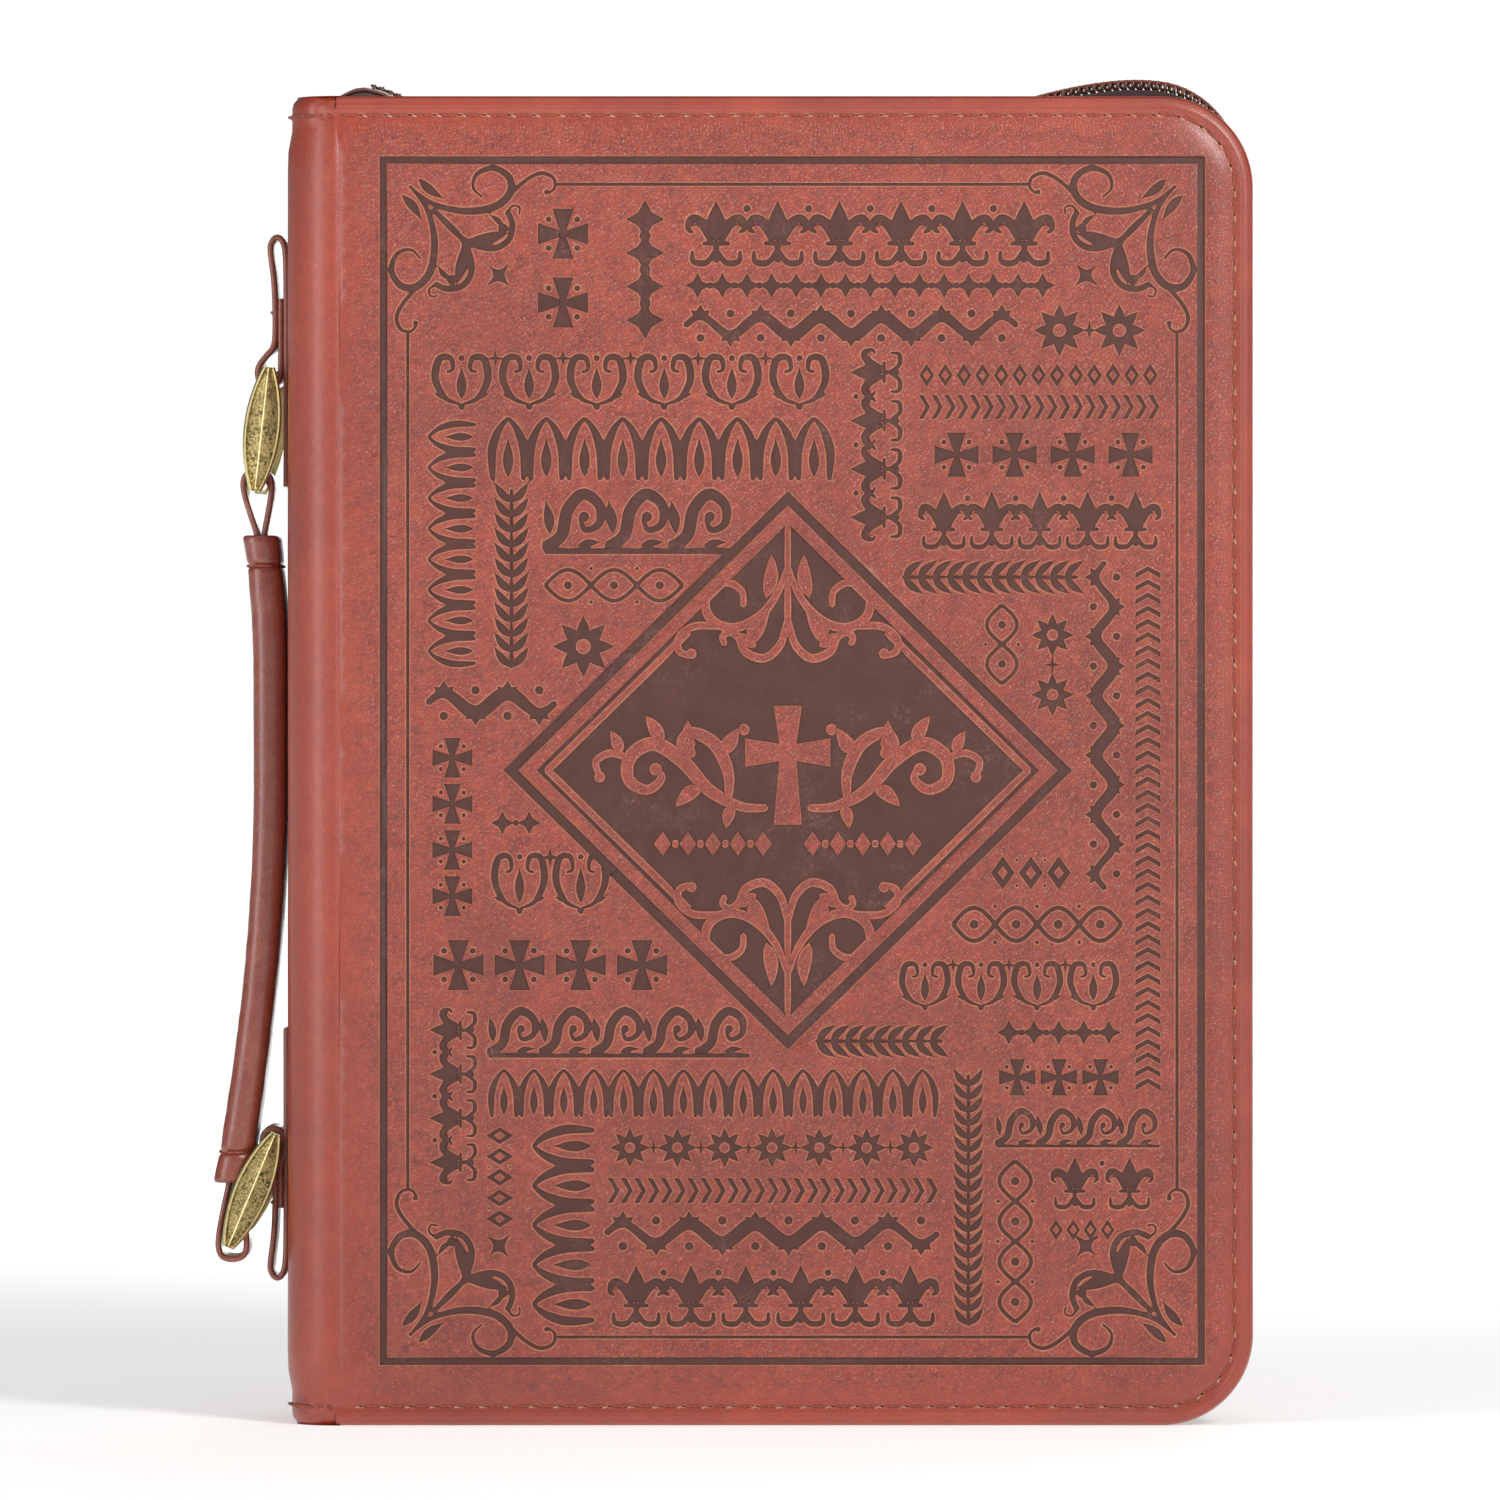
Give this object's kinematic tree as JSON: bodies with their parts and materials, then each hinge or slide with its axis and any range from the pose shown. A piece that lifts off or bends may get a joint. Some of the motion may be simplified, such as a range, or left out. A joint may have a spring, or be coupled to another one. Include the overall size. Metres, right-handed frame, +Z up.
{
  "type": "zippered bible case with bible",
  "caption": "Zip-around tooled leather book case with a padded spine handle on brass links, holding a bound Bible.",
  "frame": {"origin": "on the surface it stands on, under the middle of the whole object's box, the handle included", "axes": "+Z up along the spine, +X from the spine to the fore edge, +Y towards the back cover, so the tooled front cover faces -Y"},
  "size_m": [0.2062, 0.05, 0.2657],
  "materials": {
    "cover_leather": "grained, tooled, warm red-brown",
    "gusset_leather": "grained, slightly darker",
    "strap_leather": "smooth, cut edges",
    "thread": "waxed thread",
    "foam": "thin padding",
    "board": "grey-brown board",
    "lining": "dark woven lining",
    "zip_tape": "woven tape",
    "zip_coil": "brown nylon coil",
    "book_cover": "fine-grained dark cover",
    "book_pages": "stacked thin paper",
    "endpaper": "plain paper",
    "book_band": "woven band",
    "link_brass": "antique, bright edges over a dark grain",
    "zip_brass": "antique, worn bright"
  },
  "bodies": {
    "back_cover": {"back_skin": "cover_leather", "back_foam": "foam", "back_board": "board", "back_lining": "lining", "back_sleeve": "lining", "back_stitching": "thread", "back_gusset": "gusset_leather", "back_zip_tape": "zip_tape", "back_zip_coil": "zip_coil", "back_hinge_leather": "cover_leather", "bible_back_board": "book_cover", "bible_back_endpaper": "endpaper", "bible_text_block": "book_pages", "bible_head_band": "book_band", "bible_tail_band": "book_band"},
    "spine": {"spine_skin": "cover_leather", "spine_stiffener": "board", "spine_lining": "lining", "spine_stitching": "thread", "bible_spine": "book_cover", "upper_zip_tab": "gusset_leather", "lower_zip_tab": "gusset_leather", "upper_anchor_strap": "strap_leather", "lower_anchor_strap": "strap_leather", "anchor_stitching": "thread"},
    "front_cover": {"front_skin": "cover_leather", "front_foam": "foam", "front_board": "board", "front_lining": "lining", "front_sleeve": "lining", "front_stitching": "thread", "front_gusset": "gusset_leather", "front_zip_tape": "zip_tape", "front_zip_coil": "zip_coil", "front_hinge_leather": "cover_leather", "bible_front_board": "book_cover", "bible_front_endpaper": "endpaper"},
    "upper_link": {"upper_link_front_plate": "link_brass", "upper_link_back_plate": "link_brass", "upper_link_bars": "link_brass"},
    "handle": {"handle_cover": "cover_leather", "handle_padding": "foam", "handle_strap": "strap_leather", "handle_stitching": "thread"},
    "lower_link": {"lower_link_front_plate": "link_brass", "lower_link_back_plate": "link_brass", "lower_link_bars": "link_brass"},
    "zip_slider": {"slider_body": "zip_brass", "slider_bridge": "zip_brass"},
    "zip_pull": {"zip_pull": "zip_brass"}
  },
  "joints": [
    {"name": "spine_hinge", "type": "hinge", "parent": "back_cover", "child": "spine", "pos_m": [-0.08496, 0.02207, 0.1305], "axis": [0, 0, -1], "range_deg": [0, 90], "deforming": ["back_hinge_leather", "upper_zip_tab", "lower_zip_tab"]},
    {"name": "front_hinge", "type": "hinge", "parent": "spine", "child": "front_cover", "pos_m": [-0.08496, -0.02207, 0.1305], "axis": [0, 0, -1], "range_deg": [0, 90], "deforming": ["front_hinge_leather", "front_zip_tape", "front_zip_coil"]},
    {"name": "upper_link_swing", "type": "hinge", "parent": "spine", "child": "upper_link", "pos_m": [-0.09179, 0, 0.2067], "axis": [0, 1, 0], "range_deg": [0, 83.6]},
    {"name": "handle_swing", "type": "hinge", "parent": "upper_link", "child": "handle", "pos_m": [-0.0942, 0, 0.18524], "axis": [0, 1, 0], "range_deg": [-86.5, 0]},
    {"name": "lower_link_swing", "type": "hinge", "parent": "spine", "child": "lower_link", "pos_m": [-0.09089, 0, 0.0555], "axis": [0, 1, 0], "range_deg": [0, 69]},
    {"name": "zip_slide", "type": "slide", "parent": "back_cover", "child": "zip_slider", "axis": [1, 0, 0], "range_m": [0, 0.06], "deforming": ["back_zip_coil", "back_zip_tape"]},
    {"name": "pull_swing", "type": "hinge", "parent": "zip_slider", "child": "zip_pull", "pos_m": [-0.04689, 0, 0.25835], "axis": [0, -1, 0], "range_deg": [0, 160]}
  ],
  "couplings": [
    {"joint": "handle_swing", "follows": "upper_link_swing", "ratio": -1.03},
    {"joint": "lower_link_swing", "follows": "upper_link_swing", "ratio": 0.82}
  ]
}
